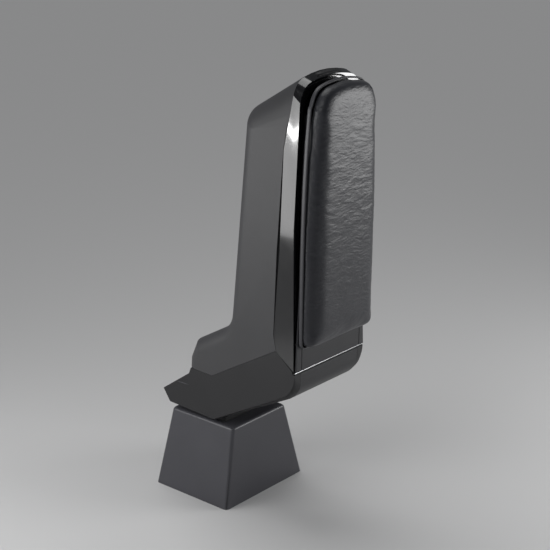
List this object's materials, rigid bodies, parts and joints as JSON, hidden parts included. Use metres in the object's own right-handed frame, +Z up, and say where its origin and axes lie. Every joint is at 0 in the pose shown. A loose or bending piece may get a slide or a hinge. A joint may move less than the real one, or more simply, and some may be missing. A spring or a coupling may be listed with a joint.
{
  "type": "center console armrest",
  "caption": "Fold-up car console armrest on a tapered pedestal, with a padded lid over a storage bin.",
  "frame": {"origin": "middle of the underside of the foot plate, where the pedestal stands on the console", "axes": "+Z up, +Y towards the stand's nose and the arm's folded direction, X across the armrest"},
  "size_m": [0.124, 0.2167, 0.4657],
  "materials": {
    "matte_plastic": "fine-grained moulded plastic, satin matte",
    "dark_plastic": "fine-grained moulded plastic, matte",
    "gloss_plastic": "high gloss black",
    "leather": "wrinkled grain, satin",
    "bin_felt": "flocked lining",
    "rubber": "matte",
    "steel": "zinc plated",
    "bright_metal": "polished",
    "nylon": "plain"
  },
  "bodies": {
    "stand": {"pedestal_cover": "dark_plastic", "neck_seal": "rubber", "foot_plate": "steel", "steel_post": "steel", "foot_bolt_1": "steel", "foot_bolt_2": "steel", "foot_bolt_3": "steel", "foot_bolt_4": "steel", "stand_housing": "dark_plastic", "rear_cover": "dark_plastic", "fold_bracket": "steel", "fold_pin": "steel", "left_bush": "nylon", "right_bush": "nylon", "left_screw": "steel", "right_screw": "steel"},
    "arm": {"arm_shell": "matte_plastic", "gloss_frame": "gloss_plastic", "storage_bin": "bin_felt", "bin_mat": "rubber", "arm_lugs": "steel", "lid_hinge_rod": "bright_metal"},
    "lid": {"lid_plate": "dark_plastic", "cushion": "leather", "lid_inner_panel": "bin_felt", "lid_hook": "steel", "left_lid_buffer": "rubber", "right_lid_buffer": "rubber"},
    "button": {"latch_button": "dark_plastic"}
  },
  "joints": [
    {"name": "arm_fold", "type": "hinge", "parent": "stand", "child": "arm", "pos_m": [0, 0.0185, 0.1143], "axis": [1, 0, 0], "range_deg": [-90, 0]},
    {"name": "lid_hinge", "type": "hinge", "parent": "arm", "child": "lid", "pos_m": [0, -0.1366, 0.1753], "axis": [1, 0, 0], "range_deg": [0, 88]},
    {"name": "button_press", "type": "slide", "parent": "arm", "child": "button", "axis": [0, 0, -1], "range_m": [0, 0.0025], "stiffness_N_per_m": 300}
  ]
}
